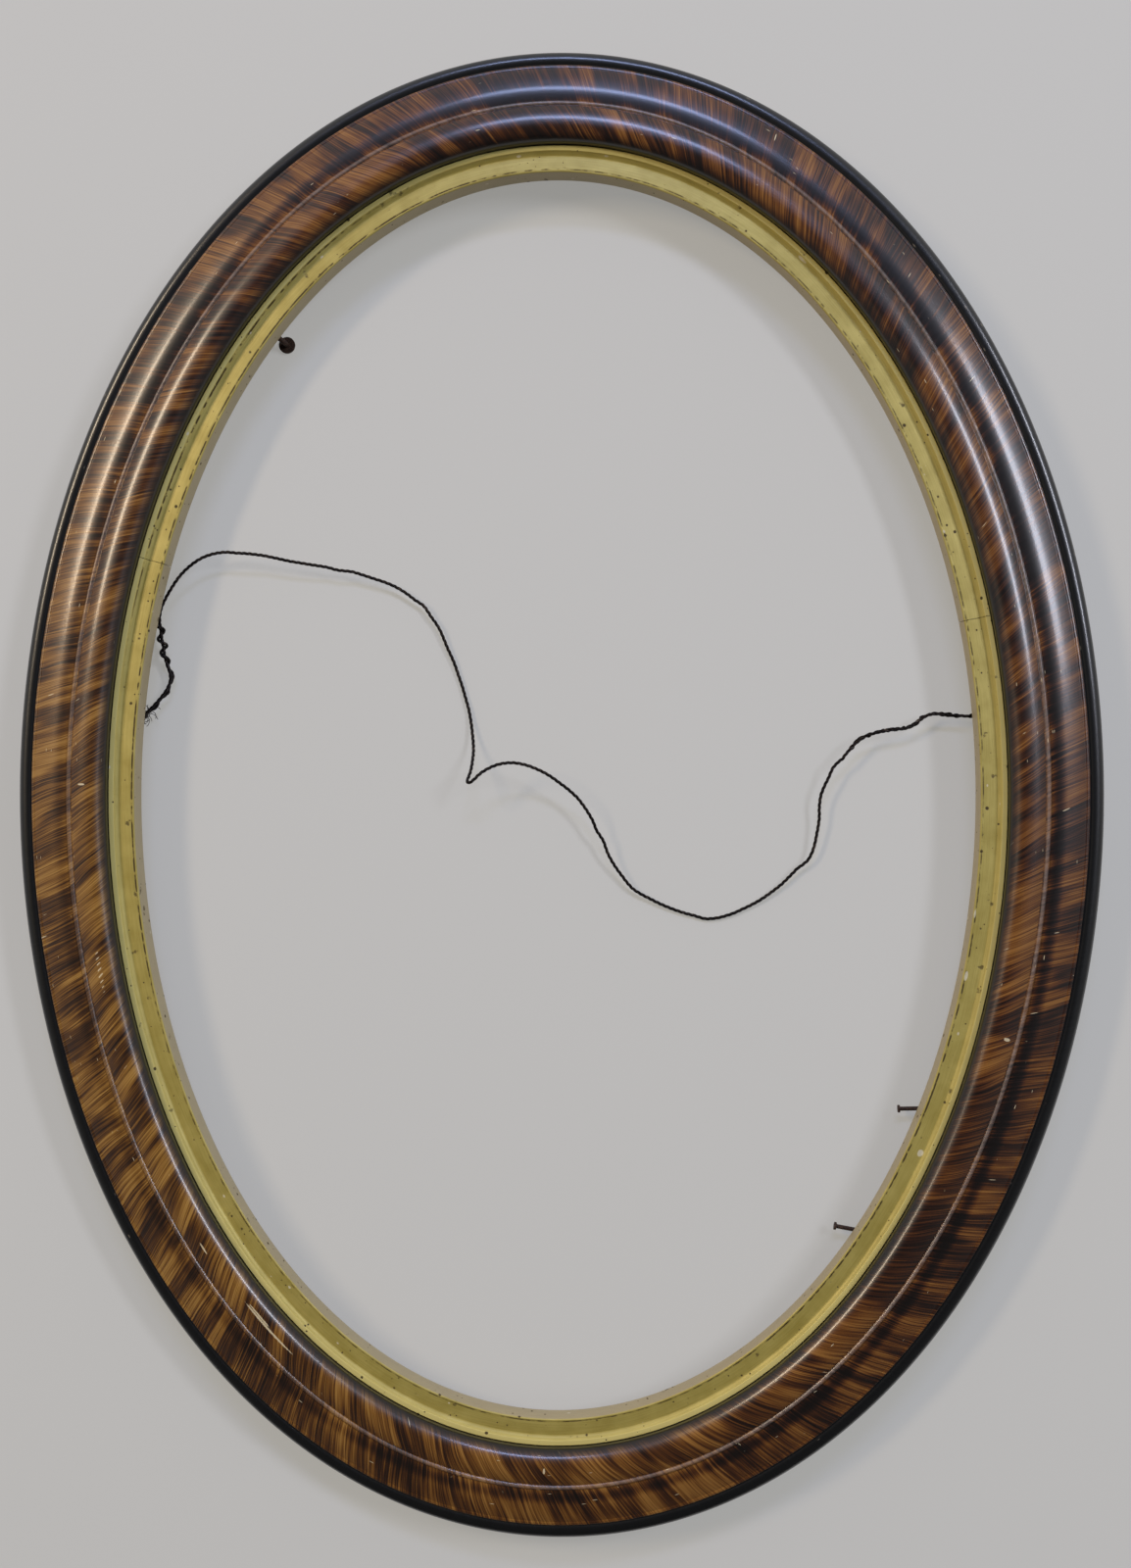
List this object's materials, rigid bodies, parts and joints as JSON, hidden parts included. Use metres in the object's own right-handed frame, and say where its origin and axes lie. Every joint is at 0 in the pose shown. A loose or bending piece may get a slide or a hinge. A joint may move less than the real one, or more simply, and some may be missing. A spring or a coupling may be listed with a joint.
{
  "type": "oval picture frame",
  "caption": "Empty antique oval picture frame of wood-grained moulding with a black rim and a gilt inner slip, with a loose twisted hanging wire across its back.",
  "frame": {"origin": "centre of the oval on the plane of the back face, on which the frame lies", "axes": "+Z out of the frame's front, +Y to the top of the oval, +X to the right as seen from the front"},
  "size_m": [0.4162, 0.5686, 0.025],
  "materials": {
    "grained_wood": "painted brown and black graining under glossy varnish, ebonised rim",
    "bare_wood": "bare sawn hardwood",
    "gilt": "dull bronze-gold paint on wood, pitted and worn",
    "rusty_steel": "dark brown rust",
    "eye_steel": "tarnished bright steel",
    "wire_steel": "darkened twisted wire"
  },
  "bodies": {
    "root": {"top_rail": "grained_wood", "left_rail": "grained_wood", "bottom_rail": "grained_wood", "right_rail": "grained_wood", "upper_right_tongue": "bare_wood", "upper_left_tongue": "bare_wood", "lower_left_tongue": "bare_wood", "lower_right_tongue": "bare_wood", "upper_gilt_slip": "gilt", "lower_gilt_slip": "gilt", "slip_pins": "rusty_steel", "backing_tack": "rusty_steel", "upper_brad": "rusty_steel", "lower_brad": "rusty_steel", "left_screw_eye": "eye_steel", "right_screw_eye": "eye_steel", "hanging_wire": "wire_steel", "left_wire_tail": "wire_steel", "right_wire_tail": "wire_steel"}
  },
  "joints": []
}
